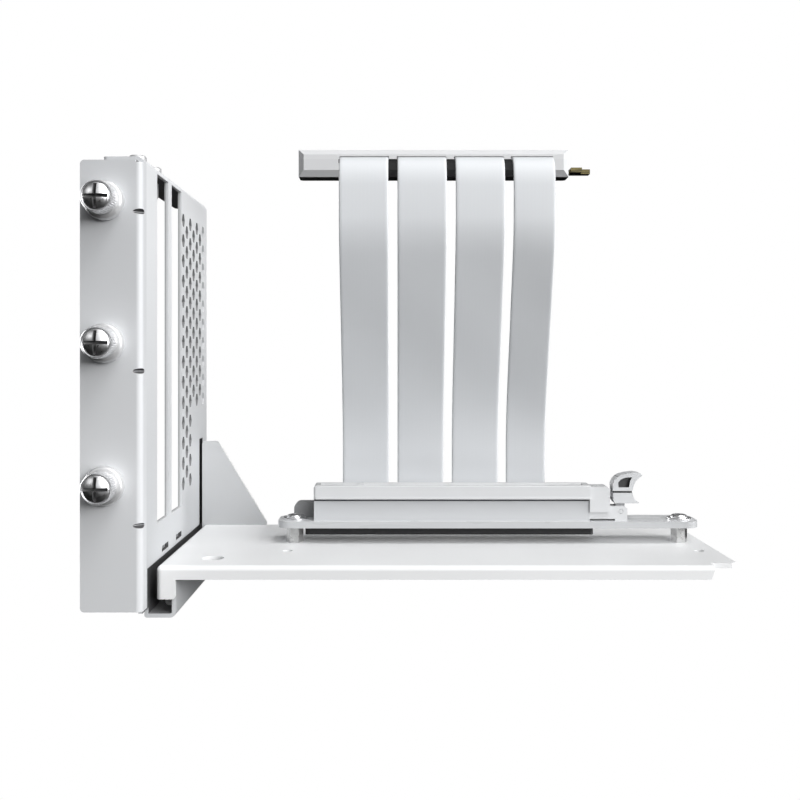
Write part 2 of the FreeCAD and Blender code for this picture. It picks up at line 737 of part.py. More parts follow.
# The groove for the card edge, in two lengths either side of the key, with a flared mouth.
mouth = slot_head - 0.9
floor = board_top + 2.6
for tag, x0, x1 in (("short", groove_left, key_left), ("long", key_right, groove_right)):
    pocket(
        slot, "YZ_Plane", "groove_" + tag, x0, x1,
        [[
            (slot_mid - groove_half, floor), (slot_mid + groove_half, floor), (slot_mid + groove_half, mouth),
            (slot_mid + groove_half + 0.8, slot_head + 0.1), (slot_mid - groove_half - 0.8, slot_head + 0.1),
            (slot_mid - groove_half, mouth),
        ]],
    )
    # The contact chamber under the groove's lips, open at the board.
    pocket(
        slot, "YZ_Plane", "chamber_" + tag, x0 + 0.3, x1 - 0.3,
        [rect(slot_mid - 2.0, board_top - 0.3, slot_mid + 2.0, slot_head - 1.7)],
    )
# The tower's channel for the card's hook, and the yoke's gap and pivot holes.
pocket(
    slot, "XZ_Plane", "hook_channel", slot_mid - groove_half, slot_mid + groove_half,
    [rect(slot_right + 1.9, tower_low + 2.2, tower_right + 0.5, tower_top + 0.5)],
)
pocket(
    slot, "XZ_Plane", "yoke_gap", slot_mid - 1.45, slot_mid + 1.45,
    [rect(tower_right + 0.5, board_top + 1.0, yoke_right + 0.5, yoke_top + 0.5)],
)
pocket(
    slot, "XZ_Plane", "pivot_holes", slot_mid - 2.8, slot_mid + 2.8,
    circles=[(pivot_x, pivot_z, pivot_r + 0.08)],
)

# Spring contacts: eleven before the key and seventy-one after it, in each row.
def contact_row(side):
    y = slot_mid.value
    z = board_top.value
    profile = [
        (1.85, 0.0), (1.6, 0.0), (1.6, 4.9), (0.52, 7.7), (0.95, 9.7), (1.18, 9.58), (0.8, 7.72), (1.85, 5.0),
    ]
    pts = [V(0, y + side * a, z + c) for a, c in profile]
    face = Part.Face(Part.makePolygon(pts + [pts[0]]))
    one = face.extrude(V(contact_wide.value, 0, 0))
    pitch = contact_pitch.value
    first = groove_left.value + 1.0
    after = key_right.value + 1.6
    places = [first + pitch * k for k in range(11)] + [after + pitch * k for k in range(71)]
    out = []
    for x in places:
        c = one.copy()
        c.translate(V(x - contact_wide.value / 2, 0, 0))
        out.append(c)
    return Part.makeCompound(out)


solid_of("slot_contacts_front", contact_row(-1))
solid_of("slot_contacts_rear", contact_row(1))

# ---------------------------------------------------------------- the latch lever
latch = body("slot_latch")
pad(
    latch, "XZ_Plane", "thumb_part", slot_mid - 2.9, slot_mid + 2.9,
    [[
        (155.6, -52.5), (155.0, -51.5), (154.9, -46.3), (155.4, -44.9), (156.4, -43.8), (157.7, -43.1), (159.6, -42.6),
        (162.3, -42.3), (164.0, -42.6), (164.7, -43.3), (163.4, -44.2), (162.4, -45.2), (161.8, -46.5), (161.4, -47.9),
        (161.4, -49.5), (161.8, -50.7), (162.6, -51.7), (163.6, -52.2), (163.2, -52.5),
    ]],
)
pad(
    latch, "XZ_Plane", "stem", slot_mid - 1.2, slot_mid + 1.2,
    [[
        (pivot_x - 1.5, -51.5), (pivot_x - 1.5, pivot_z - 0.6), (pivot_x - 0.6, pivot_z - 1.5), (pivot_x + 0.6, pivot_z - 1.5),
        (pivot_x + 1.5, pivot_z - 0.6), (pivot_x + 1.5, -51.5),
    ]],
)
pad(latch, "XZ_Plane", "trunnions", slot_mid - 2.45, slot_mid + 2.45, circles=[(pivot_x, pivot_z, pivot_r)])
pad(
    latch, "XZ_Plane", "catch", slot_mid - 0.65, slot_mid + 0.65,
    [[(150.6, -50.2), (155.5, -50.8), (155.5, -48.9), (151.2, -48.9)]],
)
for tag, y0, y1 in (("front", slot_mid - 3.2, slot_mid - 1.5), ("rear", slot_mid + 1.5, slot_mid + 3.2)):
    pocket(
        latch, "XZ_Plane", "recess_" + tag, y0, y1,
        [[
            (156.7, -47.2), (156.6, -45.6), (157.4, -44.6), (159.0, -44.0), (161.2, -43.8), (160.6, -45.0), (160.2, -47.2),
        ]],
    )
for tag, y0, y1 in (("front", slot_mid - 3.2, slot_mid - 1.7), ("rear", slot_mid + 1.7, slot_mid + 3.2)):
    pocket(latch, "XZ_Plane", "line_" + tag, y0, y1, [rect(154.5, -49.0, 161.5, -48.4)])

# ---------------------------------------------------------------- cable clamp behind the slot
clamp = body("cable_clamp")
pad(
    clamp, "YZ_Plane", "clamp_section", post_left - 0.7, slot_right - 1.0,
    [[
        (slot_mid + 5.3, board_top), (board_back - 0.4, board_top), (board_back - 0.4, ribbon_start - 0.8),
        (board_back - 1.2, ribbon_start), (slot_mid + 5.3, ribbon_start),
    ]],
)
rounded(
    clamp, "clamp_ends", 2.4,
    along("y", x=post_left - 0.7, z=ribbon_start), along("y", x=slot_right - 1.0, z=ribbon_start),
)
# The board screw's collar clears the clamp's foot.
pocket(clamp, "XY_Plane", "collar_clearance", board_top - 0.2, board_top + 0.9, circles=[(post_left, post_y, 4.3)])

# ---------------------------------------------------------------- flat cables
# The route in the YZ plane, from the clamp up and over into the plug's mouth.
route = [
    (56.5, -53.0), (56.7, -40.0), (56.2, -29.0), (53.2, -17.0), (44.9, 3.0), (36.9, 22.5), (32.3, 35.0),
    (31.9, 46.0), (32.0, 55.4), (36.0, 60.35), (40.4, 60.35),
]
spans = [(64.9, 80.6), (83.5, 99.2), (102.0, 117.7), (120.4, 133.7)]


def lane(points):
    """Straight runs joined by tangent arcs, each as large as its two runs allow."""
    pts = [V(0, y, z) for y, z in points]
    pieces = []
    at = pts[0]
    radii = []
    for a, b, c in zip(pts, pts[1:], pts[2:]):
        u, w = (b - a), (c - b)
        short = min(u.Length, w.Length)
        u.normalize()
        w.normalize()
        turn = math.acos(max(-1.0, min(1.0, u.dot(w))))
        cut = 0.45 * short
        radius = cut / math.tan(turn / 2)
        radii.append(radius)
        p, q = b - u * cut, b + w * cut
        middle = (p + q) * 0.5
        inward = middle - b
        inward.normalize()
        top = b + inward * (radius / math.cos(turn / 2) - radius)
        pieces.append(Part.LineSegment(at, p).toShape())
        pieces.append(Part.Arc(p, top, q).toShape())
        at = q
    pieces.append(Part.LineSegment(at, pts[-1]).toShape())
    return Part.Wire(pieces), radii


path, radii = lane(route)
print("cable length", round(path.Length, 2), "radii", [round(r, 1) for r in radii])
half = ribbon_gauge.value / 2
for n, (x0, x1) in enumerate(spans, 1):
    # The lane is offset to both sides in its own plane and the strip is drawn out in X.
    sides = []
    for sign in (1, -1):
        moved = []
        for e in path.Edges:
            if e.Curve.TypeId == "Part::GeomLine":
                p, q = e.Vertexes[0].Point, e.Vertexes[-1].Point
                d = q - p
                d.normalize()
                nrm = V(0, -d.z, d.y) * (half * sign)
                moved.append(Part.LineSegment(p + nrm, q + nrm).toShape())
            else:
                c = e.Curve
                p = e.valueAt(e.FirstParameter)
                m = e.valueAt((e.FirstParameter + e.LastParameter) / 2)
                q = e.valueAt(e.LastParameter)
                d = e.tangentAt(e.FirstParameter)
                nrm = V(0, -d.z, d.y) * sign
                grow = half if nrm.dot(p - c.Center) > 0 else -half
                k = (c.Radius + grow) / c.Radius
                moved.append(
                    Part.Arc(c.Center + (p - c.Center) * k, c.Center + (m - c.Center) * k, c.Center + (q - c.Center) * k).toShape()
                )
        sides.append(moved)
    first, last = sides
    end_a = Part.LineSegment(first[-1].Vertexes[-1].Point, last[-1].Vertexes[-1].Point).toShape()
    end_b = Part.LineSegment(first[0].Vertexes[0].Point, last[0].Vertexes[0].Point).toShape()
    outline = Part.Wire(Part.__sortEdges__(first + [end_a] + last + [end_b]))
    strip = Part.Face(outline).extrude(V(x1 - x0, 0, 0))
    want = path.Length * ribbon_gauge.value * (x1 - x0)
    if abs(strip.Volume / want - 1) > 0.02:
        raise RuntimeError(f"cable {n}: volume {strip.Volume:.1f}, wanted {want:.1f}")
    solid_of(f"ribbon_{n}", strip, V(x0, 0, 0))

# ---------------------------------------------------------------- the plug
mouth_left, mouth_right = 64.4, 134.2
mouth_low = plug_split - 1.3


def plan(inset):
    """The housing's outline seen from above, with bevelled corners."""
    a, b, c, d = plug_left + inset, plug_right - inset, plug_front + inset, plug_back - inset
    bevel = 1.8
    return [
        (a + bevel, c), (b - bevel, c), (b, c + bevel), (b, d - bevel), (b - bevel, d), (a + bevel, d), (a, d - bevel), (a, c + bevel),
    ]


lid = body("plug_lid")
pad(lid, "XY_Plane", "lid_block", plug_split, plug_top, [plan(0)])
rounded(lid, "lid_front_bevel", 1.75, along("x", y=plug_front, z=plug_top, least=20), kind="Chamfer")
rounded(lid, "lid_back_bevel", 1.0, along("x", y=plug_back, z=plug_top, least=20), kind="Chamfer")
hollow = rect(plug_left + 2.4, plug_front + 2.4, plug_right - 2.4, plug_back - 2.4)
pocket(lid, "XY_Plane", "lid_hollow", plug_split - 0.2, plug_split + 1.4, [hollow])
pocket(
    lid, "XY_Plane", "lid_mouths", plug_split - 0.2, plug_split + 0.85,
    [rect(x0 - 0.15, plug_front - 0.5, x1 + 0.15, plug_front + 2.6) for x0, x1 in spans],
)

base = body("plug_base")
pad(base, "XY_Plane", "base_block", plug_low, plug_split, [plan(0)])
rounded(base, "base_front_bevel", 1.95, along("x", y=plug_front, z=plug_low, least=20), kind="Chamfer")
rounded(base, "base_back_bevel", 1.0, along("x", y=plug_back, z=plug_low, least=20), kind="Chamfer")
pocket(base, "XY_Plane", "base_hollow", plug_low + 1.5, plug_split + 0.2, [hollow])
pocket(base, "XY_Plane", "base_mouth", mouth_low, plug_split + 0.2, [rect(mouth_left, plug_front - 0.5, mouth_right, plug_front + 2.6)])
edge_low = plug_split - edge_gauge
pocket(base, "XY_Plane", "board_gap", edge_low, plug_split + 0.2, [rect(54.6, plug_back - 2.8, 136.4, plug_back + 0.5)])

grommet = body("cable_grommet")
pad(grommet, "XY_Plane", "bar", mouth_low, plug_split, [rect(mouth_left, plug_front + 0.5, mouth_right, plug_front + 3.4)])
pocket(
    grommet, "XZ_Plane", "cable_slits", plug_front - 0.2, 40.4,
    [rect(x0 - 0.05, 59.8, x1 + 0.05, 60.95) for x0, x1 in spans],
)

edge = body("edge_board")
pad(
    edge, "XY_Plane", "edge_outline", edge_low, plug_split,
    [[
        (54.8, 43.3), (136.2, 43.3), (136.2, 56.4), (140.0, 56.4), (140.0, 59.6), (142.3, 59.6), (142.3, 54.2), (146.0, 54.2),
        (146.0, 57.6), (149.3, 57.6), (149.3, 61.2), (140.0, 61.2), (140.0, edge_tip - 0.8), (139.2, edge_tip), (69.9, edge_tip), (69.9, 60.2), (68.0, 60.2), (68.0, edge_tip),
        (55.6, edge_tip), (54.8, edge_tip - 0.8),
    ]],
)

# ---------------------------------------------------------------- checks and files
doc.recompute()
bad = [o.Name for o in doc.Objects if any(s in ("Invalid", "Error") for s in o.State)]
if bad:
    raise RuntimeError(f"failed objects: {bad}")
os.makedirs("parts", exist_ok=True)
for p in subparts:
    if p.Shape.isNull() or not p.Shape.isValid():
        raise RuntimeError(f"{p.Label} has no valid shape")
for p in subparts:
    p.Shape.exportStep(f"parts/{p.Label}.step")
    box = p.Shape.BoundBox
    print(
        p.Label, len(p.Shape.Solids), "solids", round(p.Shape.Volume, 1), "mm3",
        [round(v, 2) for v in (box.XMin, box.XMax, box.YMin, box.YMax, box.ZMin, box.ZMax)],
    )
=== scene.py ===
import math

import bmesh
import bpy
from mathutils import Matrix, Vector


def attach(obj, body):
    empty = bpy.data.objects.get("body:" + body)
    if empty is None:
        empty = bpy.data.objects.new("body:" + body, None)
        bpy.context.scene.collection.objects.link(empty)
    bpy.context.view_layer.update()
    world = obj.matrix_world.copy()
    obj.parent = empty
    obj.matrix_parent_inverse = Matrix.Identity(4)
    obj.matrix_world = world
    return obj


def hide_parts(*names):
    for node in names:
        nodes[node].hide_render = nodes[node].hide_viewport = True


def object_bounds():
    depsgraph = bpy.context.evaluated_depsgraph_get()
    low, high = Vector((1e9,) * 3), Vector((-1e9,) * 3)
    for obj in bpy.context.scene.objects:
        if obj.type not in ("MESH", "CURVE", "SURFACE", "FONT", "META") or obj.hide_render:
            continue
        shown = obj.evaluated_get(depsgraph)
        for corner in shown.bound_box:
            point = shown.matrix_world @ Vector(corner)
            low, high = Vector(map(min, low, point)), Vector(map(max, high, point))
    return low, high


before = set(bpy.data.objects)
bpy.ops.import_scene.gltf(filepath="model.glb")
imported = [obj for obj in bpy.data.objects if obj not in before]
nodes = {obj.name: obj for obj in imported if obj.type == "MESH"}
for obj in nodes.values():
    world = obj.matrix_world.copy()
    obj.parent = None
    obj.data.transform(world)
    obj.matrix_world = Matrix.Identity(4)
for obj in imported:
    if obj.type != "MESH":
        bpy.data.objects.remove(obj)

scene = bpy.context.scene
cad_low, cad_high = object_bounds()
MM = 0.001
ROOT = "mount"


def link(obj):
    scene.collection.objects.link(obj)
    return obj


# ------------------------------------------------------------------ camera
lens = bpy.data.cameras.new("camera")
lens.sensor_width = 36.0
lens.lens = 47.25
lens.shift_x = 0.0025
lens.shift_y = -0.055
lens.clip_start = 0.01
lens.clip_end = 60.0
camera = link(bpy.data.objects.new("camera", lens))
camera.location = (0.0837, -0.3012, -0.0037)
camera.rotation_euler = (math.radians(90), 0, 0)
scene.camera = camera


# ------------------------------------------------------------------ materials
def material(name):
    m = bpy.data.materials.new(name)
    m.use_nodes = True
    tree = m.node_tree
    shader = tree.nodes["Principled BSDF"]
    place = tree.nodes.new("ShaderNodeTexCoord")
    return m, tree, shader, place.outputs["Object"]


def noise(tree, vector, scale, detail=3.0, rough=0.55, stretch=None):
    if stretch:
        mapping = tree.nodes.new("ShaderNodeMapping")
        mapping.inputs["Scale"].default_value = stretch
        tree.links.new(vector, mapping.inputs["Vector"])
        vector = mapping.outputs["Vector"]
    n = tree.nodes.new("ShaderNodeTexNoise")
    n.inputs["Scale"].default_value = scale
    n.inputs["Detail"].default_value = detail
    n.inputs["Roughness"].default_value = rough
    tree.links.new(vector, n.inputs["Vector"])
    return n.outputs["Fac"]


def ramp(tree, value, stops):
    r = tree.nodes.new("ShaderNodeValToRGB")
    e = r.color_ramp.elements
    e[0].position, e[0].color = stops[0][0], (*stops[0][1], 1)
    e[1].position, e[1].color = stops[-1][0], (*stops[-1][1], 1)
    for at, colour in stops[1:-1]:
        k = e.new(at)
        k.color = (*colour, 1)
    tree.links.new(value, r.inputs["Fac"])
    return r.outputs["Color"]


def spread(tree, value, low, high, a=0.3, b=0.7):
    r = tree.nodes.new("ShaderNodeMapRange")
    r.inputs["From Min"].default_value = a
    r.inputs["From Max"].default_value = b
    r.inputs["To Min"].default_value = low
    r.inputs["To Max"].default_value = high
    tree.links.new(value, r.inputs["Value"])
    return r.outputs["Result"]


def bump(tree, shader, height, strength, distance):
    b = tree.nodes.new("ShaderNodeBump")
    b.inputs["Strength"].default_value = strength
    b.inputs["Distance"].default_value = distance
    tree.links.new(height, b.inputs["Height"])
    tree.links.new(b.outputs["Normal"], shader.inputs["Normal"])


def shade(c, k):
    return tuple(v * k for v in c)


def coated(name, colour, rough=0.42, grain=1500.0, strength=0.16, specular=0.45):
    """Powder coat or moulded plastic: a fine orange-peel grain and a slight drift of tone."""
    m, tree, shader, at = material(name)
    drift = noise(tree, at, 26.0, 2.0)
    tree.links.new(ramp(tree, drift, [(0.3, shade(colour, 0.965)), (0.7, colour)]), shader.inputs["Base Color"])
    fine = noise(tree, at, grain, 2.0, 0.5)
    tree.links.new(spread(tree, fine, rough - 0.05, rough + 0.07), shader.inputs["Roughness"])
    bump(tree, shader, fine, strength, 0.00006)
    shader.inputs["Specular IOR Level"].default_value = specular
    return m


def steps(tree, op, a, b):
    """One comparison or product of two values; either may be a number."""
    n = tree.nodes.new("ShaderNodeMath")
    n.operation = op
    for socket, v in zip(n.inputs, (a, b)):
        if isinstance(v, (int, float)):
            socket.default_value = v
        else:
            tree.links.new(v, socket)
    return n.outputs[0]


def paint_light_and_shade(m, zones):
    """Paints light and shade into zones of a finish: painted shade where a zone is darker, painted light where it is
    lighter. A zone is a list of tests on the surface's place (x, y, z in mm) or its normal (nx, ny, nz), each (what,
    "<" or ">", value), and a colour, or two (height, colour) stops that the tone runs between."""
    tree = m.node_tree
    shader = tree.nodes["Principled BSDF"]
    own = tree.nodes.new("ShaderNodeTexCoord")
    place = tree.nodes.new("ShaderNodeSeparateXYZ")
    facing = tree.nodes.new("ShaderNodeSeparateXYZ")
    tree.links.new(own.outputs["Object"], place.inputs["Vector"])
    tree.links.new(own.outputs["Normal"], facing.inputs["Vector"])
    read = {"x": place.outputs["X"], "y": place.outputs["Y"], "z": place.outputs["Z"]}
    read.update({"nx": facing.outputs["X"], "ny": facing.outputs["Y"], "nz": facing.outputs["Z"]})
    colour = shader.inputs["Base Color"].links[0].from_socket
    for tests, tone in zones:
        inside = None
        for what, how, value in tests:
            bound = value if what.startswith("n") else value * MM
            hit = steps(tree, "LESS_THAN" if how == "<" else "GREATER_THAN", read[what], bound)
            inside = hit if inside is None else steps(tree, "MULTIPLY", inside, hit)
        mix = tree.nodes.new("ShaderNodeMix")
        mix.data_type = "RGBA"
        tree.links.new(inside, mix.inputs["Factor"])
        tree.links.new(colour, mix.inputs["A"])
        if len(tone) == 2:
            (z0, low_tone), (z1, high_tone) = tone
            run = spread(tree, read["z"], 0.0, 1.0, z0 * MM, z1 * MM)
            tree.links.new(ramp(tree, run, [(0.0, low_tone), (1.0, high_tone)]), mix.inputs["B"])
        else:
            mix.inputs["B"].default_value = (*tone, 1)
        colour = mix.outputs["Result"]
    tree.links.new(colour, shader.inputs["Base Color"])
    return m


def plated(name, colour, rough, brushed=0.0):
    """Plated metal with fine turning marks and a faint bloom."""
    m, tree, shader, at = material(name)
    bloom = noise(tree, at, 420.0, 4.0)
    tree.links.new(ramp(tree, bloom, [(0.25, shade(colour, 0.86)), (0.75, colour)]), shader.inputs["Base Color"])
    marks = noise(tree, at, 900.0, 2.0, 0.6, stretch=(1.0, 7.0, 1.0))
    tree.links.new(spread(tree, marks, rough * 0.8, rough * 1.35), shader.inputs["Roughness"])
    shader.inputs["Metallic"].default_value = 1.0
    if brushed:
        bump(tree, shader, marks, brushed, 0.00003)
    return m


cage_paint = coated("cage_powder_coat", (0.70, 0.71, 0.725), 0.46, 1500.0, 0.14, 0.34)
# Painted light and shade in zones: painted shade on the cut edges (the card openings, the grille and the tongue
# slits), under the ledge and inside the rail, and a painted run of light up the wall, lighter towards the top.
edge_of_wall = [("nx", "<", 0.5), ("nx", ">", -0.5), ("x", ">", 9.45), ("x", "<", 10.55), ("y", ">", 12.0)]
stiffener = [("x", ">", 7.0), ("y", "<", 2.5), ("z", "<", 50.0), ("z", ">", -62.0)]
paint_light_and_shade(cage_paint, [
    # Painted shade on the flange's front face, darker towards the top.
    ([("ny", "<", -0.9), ("y", "<", 1.0)], [(-45.0, (0.715, 0.725, 0.74)), (35.0, (0.622, 0.632, 0.648))]),
    ([("nx", ">", 0.5), ("x", ">", 10.3), ("y", ">", 4.0)], [(-66.0, (0.54, 0.55, 0.564)), (30.0, (0.785, 0.795, 0.81))]),
    (edge_of_wall + [("y", "<", 54.0), ("x", "<", 9.95)], (0.42, 0.426, 0.435)),
    (edge_of_wall + [("y", ">", 53.5), ("y", "<", 90.8), ("z", "<", 46.0)], (0.26, 0.262, 0.266)),
    (edge_of_wall + [("z", "<", -61.0), ("y", "<", 54.0)], (0.09, 0.09, 0.092)),
    ([("nz", "<", -0.9), ("z", ">", 51.9), ("x", "<", 9.6)], (0.05, 0.05, 0.052)),
    ([("nx", ">", 0.5), ("x", "<", 9.6), ("z", "<", -65.8)], (0.09, 0.09, 0.092)),
    ([("nx", "<", -0.5), ("x", ">", 16.0), ("z", "<", -67.0)], (0.32, 0.32, 0.328)),
    ([("nz", ">", 0.5), ("z", "<", -80.0)], (0.32, 0.32, 0.328)),
    # Painted shade on the pressed stiffeners' flanks.
    (stiffener + [("nz", ">", 0.25)], (0.14, 0.14, 0.143)),
    (stiffener + [("nz", "<", -0.25)], (0.10, 0.10, 0.102)),
    # Painted shadow on the wall behind the shelf's gusset, a dark line beside it.
    ([("nx", ">", 0.5), ("x", ">", 10.3), ("y", ">", 85.3), ("y", "<", 91.5), ("z", "<", -34.2), ("z", ">", -66.0)], (0.012, 0.012, 0.013)),
])
shelf_paint = coated("shelf_powder_coat", (0.93, 0.935, 0.94), 0.40, 1500.0, 0.14)
# Painted shade on the gusset: darker than the plate, and darker towards the bottom.
paint_light_and_shade(shelf_paint, [([("ny", "<", -0.5), ("y", ">", 80.0)], [(-62.0, (0.475, 0.482, 0.491)), (-40.0, (0.55, 0.557, 0.566))])])
slot_plastic = coated("slot_moulding", (0.645, 0.652, 0.662), 0.36, 900.0, 0.08)
# Painted shade: the body's front face below the head is a shade darker, and a painted shadow lies in the groove under
# the head and just below it.
paint_light_and_shade(slot_plastic, [
    ([("z", "<", -51.6), ("ny", "<", -0.5), ("x", "<", 147.1)], (0.565, 0.575, 0.59)),
    ([("z", "<", -50.98), ("z", ">", -51.7), ("x", "<", 147.0)], (0.03, 0.03, 0.032)),
])
# Painted shade in the lever's recess and in the line across it.
latch_plastic = paint_light_and_shade(coated("latch_moulding", (0.62, 0.628, 0.64), 0.36, 900.0, 0.08), [
    ([("x", ">", 156.4), ("x", "<", 161.25), ("z", ">", -47.4), ("z", "<", -43.7), ("y", ">", 46.5), ("y", "<", 52.1)], (0.09, 0.09, 0.092)),
    ([("x", ">", 154.95), ("z", ">", -49.05), ("z", "<", -48.35), ("y", ">", 46.5), ("y", "<", 52.1)], (0.04, 0.04, 0.041)),
])
plug_plastic = coated("plug_moulding", (0.74, 0.745, 0.755), 0.36, 900.0, 0.08)
# Painted shade: the underside of the plug's base and its front faces between the cables are painted near-black.
base_plastic = paint_light_and_shade(coated("base_moulding", (0.70, 0.705, 0.715), 0.36, 900.0, 0.08), [
    ([("nz", "<", -0.9), ("z", "<", 54.7)], (0.012, 0.012, 0.013)),
    ([("ny", "<", -0.3), ("x", ">", 66.0), ("x", "<", 133.0)], (0.014, 0.014, 0.015)),
])
black_plastic = coated("black_moulding", (0.012, 0.012, 0.013), 0.42, 1100.0, 0.10, 0.4)
grey_resin = coated("grey_resin", (0.28, 0.283, 0.288), 0.45, 420.0, 0.25, 0.4)
nickel = plated("satin_nickel", (0.86, 0.86, 0.87), 0.32)
# A pale, part-metallic zinc: the bracket screws' finish, and painted light on the thumbscrews' collars.
pale_zinc_and_painted_light = plated("pale_zinc_and_painted_light", (0.82, 0.823, 0.83), 0.40)
pale_zinc_and_painted_light.node_tree.nodes["Principled BSDF"].inputs["Metallic"].default_value = 0.6
# Painted shade for the thumbscrews' driver recess.
recess_painted_shade = coated("dark_recess", (0.15, 0.15, 0.153), 0.42, 900.0, 0.08, 0.5)
dull_nickel = plated("dull_nickel", (0.66, 0.66, 0.655), 0.30, 0.2)
gilt = plated("gilt", (0.86, 0.62, 0.24), 0.22)


def white_mask():
    """White solder mask: satin lacquer over faint copper relief."""
    m, tree, shader, at = material("white_board_lacquer")
    drift = noise(tree, at, 60.0, 3.0)
    tree.links.new(
        ramp(tree, drift, [(0.3, (0.68, 0.688, 0.70)), (0.7, (0.72, 0.728, 0.74))]), shader.inputs["Base Color"]
    )
    relief = noise(tree, at, 260.0, 1.0, 0.4, stretch=(0.25, 2.2, 1.0))
    tree.links.new(spread(tree, relief, 0.24, 0.34), shader.inputs["Roughness"])
    bump(tree, shader, relief, 0.10, 0.00004)
    shader.inputs["Specular IOR Level"].default_value = 0.5
    return m


def dark_mask():
    """Black solder mask on the faces; the cut edge shows the tan laminate."""
    m, tree, shader, at = material("dark_board_lacquer")
    geo = tree.nodes.new("ShaderNodeNewGeometry")
    split = tree.nodes.new("ShaderNodeSeparateXYZ")
    tree.links.new(geo.outputs["True Normal"], split.inputs["Vector"])
    flat = tree.nodes.new("ShaderNodeMath")
    flat.operation = "ABSOLUTE"
    tree.links.new(split.outputs["Z"], flat.inputs[0])
    layers = noise(tree, at, 900.0, 2.0, 0.5, stretch=(0.15, 0.15, 3.0))
    laminate = ramp(tree, layers, [(0.35, (0.035, 0.028, 0.010)), (0.7, (0.22, 0.175, 0.05))])
    mix = tree.nodes.new("ShaderNodeMix")
    mix.data_type = "RGBA"
    tree.links.new(flat.outputs[0], mix.inputs["Factor"])
    tree.links.new(laminate, mix.inputs["A"])
    mask = ramp(tree, noise(tree, at, 180.0, 2.0), [(0.3, (0.010, 0.010, 0.011)), (0.7, (0.016, 0.016, 0.017))])
    tree.links.new(mask, mix.inputs["B"])
    tree.links.new(mix.outputs["Result"], shader.inputs["Base Color"])
    tree.links.new(spread(tree, layers, 0.28, 0.42), shader.inputs["Roughness"])
    return m


def cable_film():
    """White laminated flat cable: satin film over the ridges of the cores that run along it."""
    m, tree, shader, at = material("cable_film")
    drift = noise(tree, at, 45.0, 2.0)
    tree.links.new(
        ramp(tree, drift, [(0.3, (0.67, 0.688, 0.71)), (0.7, (0.695, 0.713, 0.735))]), shader.inputs["Base Color"]
    )
    wave = tree.nodes.new("ShaderNodeTexWave")
    wave.bands_direction = "X"
    wave.inputs["Scale"].default_value = 260.0
    wave.inputs["Distortion"].default_value = 0.25
    tree.links.new(at, wave.inputs["Vector"])
    bump(tree, shader, wave.outputs["Fac"], 0.05, 0.00006)
    fine = noise(tree, at, 700.0, 2.0)
    tree.links.new(spread(tree, fine, 0.40, 0.52), shader.inputs["Roughness"])
    shader.inputs["Specular IOR Level"].default_value = 0.35
    return m


# Painted shade: the board's front-facing faces are a shade darker.
board_white = paint_light_and_shade(white_mask(), [([("ny", "<", -0.5)], (0.498, 0.506, 0.515))])
board_dark = dark_mask()
# Painted light: the film is painted paler towards the top, by the plug.
film = paint_light_and_shade(cable_film(), [([("z", ">", -60.0)], [(-50.0, (0.62, 0.637, 0.658)), (58.0, (0.76, 0.778, 0.80))])])


def wear(obj, mat):
    obj.data.materials.clear()
    obj.data.materials.append(mat)
    return obj


# ------------------------------------------------------------------ flat cables
ROUTE = [
    (56.5, -53.0), (56.7, -40.0), (56.2, -29.0), (53.2, -17.0), (44.9, 3.0), (36.9, 22.5), (32.3, 35.0),
    (31.9, 46.0), (32.0, 55.4), (36.0, 60.35), (40.4, 60.35),
]
SPANS = [(64.9, 80.6), (83.5, 99.2), (102.0, 117.7), (120.4, 133.7)]
# Each cable's own lie: twist at mid length in degrees, and the phase of its slight ripple.
LIE = [(0.6, 0.3), (-0.5, 1.7), (0.7, 3.1), (-3.2, 4.4)]


def route_points(name, x):
    """Points of the cable's line, read from a NURBS spline through its route."""
    curve = bpy.data.curves.new(name, "CURVE")
    curve.dimensions = "3D"
    curve.resolution_u = 18
    spline = curve.splines.new("NURBS")
    spline.points.add(len(ROUTE) - 1)
    for p, (y, z) in zip(spline.points, ROUTE):
        p.co = (x * MM, y * MM, z * MM, 1.0)
    spline.order_u = 3
    spline.use_endpoint_u = True
    holder = link(bpy.data.objects.new(name, curve))
    mesh = bpy.data.meshes.new_from_object(holder)
    points = [v.co.copy() for v in mesh.vertices]
    bpy.data.meshes.remove(mesh)
    bpy.data.objects.remove(holder)
    bpy.data.curves.remove(curve)
    out = [points[0]]
    for p in points[1:]:
        if (p - out[-1]).length > 1e-6:
            out.append(p)
    return out


